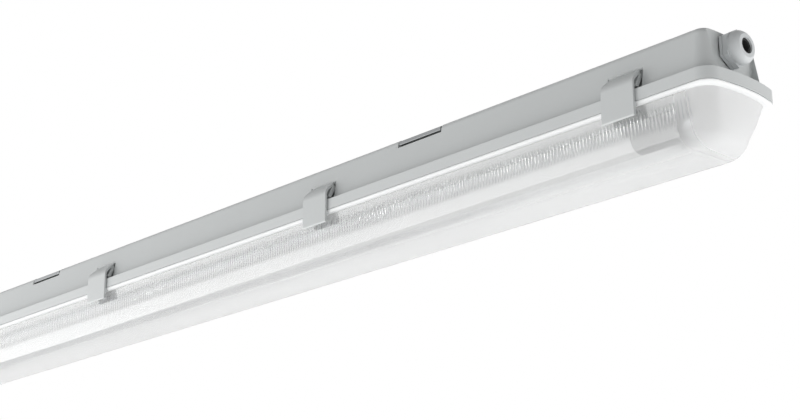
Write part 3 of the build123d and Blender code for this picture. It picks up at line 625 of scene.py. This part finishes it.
FLOOR_Z = -1.0
FLOOR_SIZE = 30.0
FLOOR_OWN_TONE = 0.75
FLOOR_GLOW = 0.9
WORLD_BELOW = 1.5
WORLD_ABOVE = 0.2
WORLD_LOW = -0.8
WORLD_HIGH = 0.3
CAMERA_PLACE = (1.3248, -0.9971, -0.5365)
CAMERA_YAW = radians(42.865)
CAMERA_PITCH = radians(18.215)
CAMERA_LENS = 75.35
CAMERA_SENSOR = 36.0


def make_floor():
    # A pale floor far below, which only the camera sees, and only from above, so that a low view shows the part
    # The lamps stand low and light it little, so it also shows a pale tone of its own
    material, place = blank("floor_pale")
    colour = mottled(material, place, "#E9E9E9", "#ECECEC", size_mm=900)[1]
    pale = add(material, "ShaderNodeBsdfDiffuse", {"Color": colour})
    own = add(material, "ShaderNodeEmission", {"Color": linear("#F2F2F2"), "Strength": FLOOR_GLOW})
    toned = add(material, "ShaderNodeMixShader",
                {0: FLOOR_OWN_TONE, 1: pale.outputs["BSDF"], 2: own.outputs["Emission"]})
    clear = add(material, "ShaderNodeBsdfTransparent")
    seen = add(material, "ShaderNodeLightPath").outputs["Is Camera Ray"]
    under = add(material, "ShaderNodeNewGeometry").outputs["Backfacing"]
    shown = add(material, "ShaderNodeMath", {0: seen, 1: under}, operation="SUBTRACT", use_clamp=True)
    mix = add(material, "ShaderNodeMixShader",
              {0: shown.outputs["Value"], 1: clear.outputs["BSDF"], 2: toned.outputs["Shader"]})
    finished(material, mix)
    reach = FLOOR_SIZE / 2
    corners = [(-reach, -reach), (reach, -reach), (reach, reach), (-reach, reach)]
    mesh = bpy.data.meshes.new("floor")
    mesh.from_pydata([(x, y, FLOOR_Z) for x, y in corners], [], [(0, 1, 2, 3)])
    mesh.materials.append(material)
    floor = bpy.data.objects.new("floor", mesh)
    bpy.context.scene.collection.objects.link(floor)


def make_world():
    # Soft light, stronger from below
    # The eye, reflections and clear pieces see a plain white background instead
    world = bpy.data.worlds.new("studio")
    bpy.context.scene.world = world
    world.use_nodes = True
    world.node_tree.nodes.clear()
    path = add(world, "ShaderNodeLightPath")
    seen = add(world, "ShaderNodeMath", {0: path.outputs["Is Camera Ray"], 1: path.outputs["Is Glossy Ray"]},
               operation="MAXIMUM")
    shown = add(world, "ShaderNodeMath", {0: seen.outputs["Value"], 1: path.outputs["Is Transmission Ray"]},
                operation="MAXIMUM")
    towards = add(world, "ShaderNodeTexCoord").outputs["Generated"]
    height = add(world, "ShaderNodeSeparateXYZ", {"Vector": towards}).outputs["Z"]
    soft = add(world, "ShaderNodeMapRange", {"Value": height, "From Min": WORLD_LOW, "From Max": WORLD_HIGH,
                                             "To Min": WORLD_BELOW, "To Max": WORLD_ABOVE})
    level = add(world, "ShaderNodeMapRange",
                {"Value": shown.outputs["Value"], "To Min": soft.outputs["Result"], "To Max": 1.0})
    light = add(world, "ShaderNodeBackground",
                {"Color": linear("#FFFFFF"), "Strength": level.outputs["Result"]})
    add(world, "ShaderNodeOutputWorld", {"Surface": light.outputs["Background"]})


def stand(thing, place, direction):
    # Puts a lamp or the camera in its place, looking along a direction
    thing.location = place
    thing.rotation_mode = "QUATERNION"
    thing.rotation_quaternion = Vector(direction).to_track_quat("-Z", "Y")
    bpy.context.scene.collection.objects.link(thing)


def soft_box(name, place, target, size, power):
    # A large soft lamp aimed at a point
    light = bpy.data.lights.new(name, "AREA")
    light.shape = "RECTANGLE"
    light.size, light.size_y = size
    light.energy = power
    lamp = bpy.data.objects.new(name, light)
    stand(lamp, place, Vector(target) - Vector(place))


def make_lamps():
    soft_box("key_from_front_left", place=(-1.9, -1.6, -0.5), target=(-0.3, 0.0, -0.05),
             size=(2.8, 2.4), power=38.0)
    soft_box("fill_behind_gland_end", place=(2.0, 1.5, -0.5), target=(0.6, 0.0, -0.05),
             size=(2.0, 2.0), power=18.0)


def make_camera():
    view = bpy.data.cameras.new("camera")
    view.lens = CAMERA_LENS
    view.sensor_width = CAMERA_SENSOR
    camera = bpy.data.objects.new("camera", view)
    level = cos(CAMERA_PITCH)
    stand(camera, CAMERA_PLACE, (-level * cos(CAMERA_YAW), level * sin(CAMERA_YAW), sin(CAMERA_PITCH)))
    bpy.context.scene.camera = camera


dress_nodes()
make_diffuser()
make_floor()
make_world()
make_lamps()
make_camera()
bpy.context.scene.view_settings.view_transform = "Standard"
